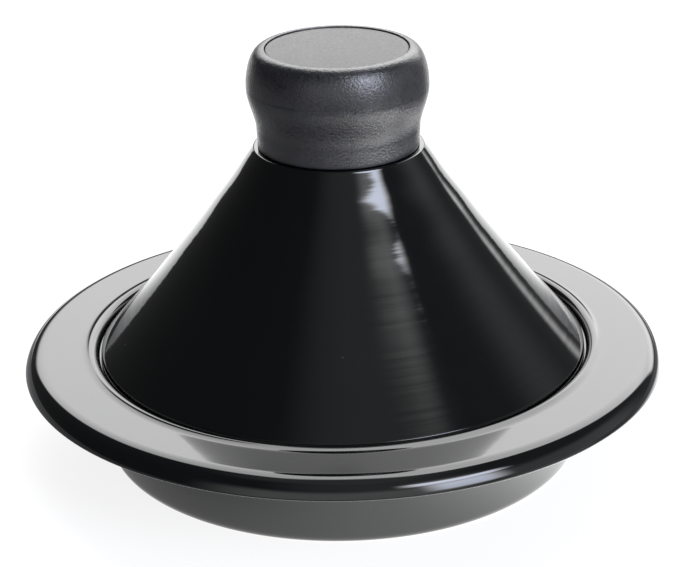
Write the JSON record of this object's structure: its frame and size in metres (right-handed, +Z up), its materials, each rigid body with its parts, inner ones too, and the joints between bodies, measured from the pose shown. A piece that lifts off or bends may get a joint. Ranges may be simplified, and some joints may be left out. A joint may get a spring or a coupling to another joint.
{
  "type": "tagine pot",
  "caption": "Round cooking dish with a wide flat brim, a tall conical lid that lifts off, and a rounded knob screwed to the lid's top.",
  "frame": {"origin": "centre of the foot ring, on the surface that the dish stands on", "axes": "+Z up along the axis that every piece is turned about; X and Y are equivalent"},
  "size_m": [0.27, 0.27, 0.173],
  "materials": {
    "dish_glaze": "deep black gloss glaze over stoneware, unglazed on the foot ring",
    "lid_glaze": "deep black gloss glaze with faint turning rings",
    "knob_phenolic": "charcoal phenolic moulding with a fine grained surface",
    "knob_cap": "charcoal phenolic cap with a fine satin grain",
    "insert_brass": "turned and knurled",
    "silicone": "moulded matt black silicone",
    "stainless": "turned stainless steel"
  },
  "bodies": {
    "base": {"base_dish": "dish_glaze"},
    "lid": {"lid_cone": "lid_glaze", "knob_body": "knob_phenolic", "knob_disc": "knob_cap", "knob_insert": "insert_brass", "knob_seal": "silicone", "lid_gasket": "silicone", "screw_washer": "stainless", "knob_screw": "stainless"}
  },
  "joints": [
    {"name": "lid_lift", "type": "slide", "parent": "base", "child": "lid", "axis": [0, 0, 1], "range_m": [0, 0.15]}
  ]
}
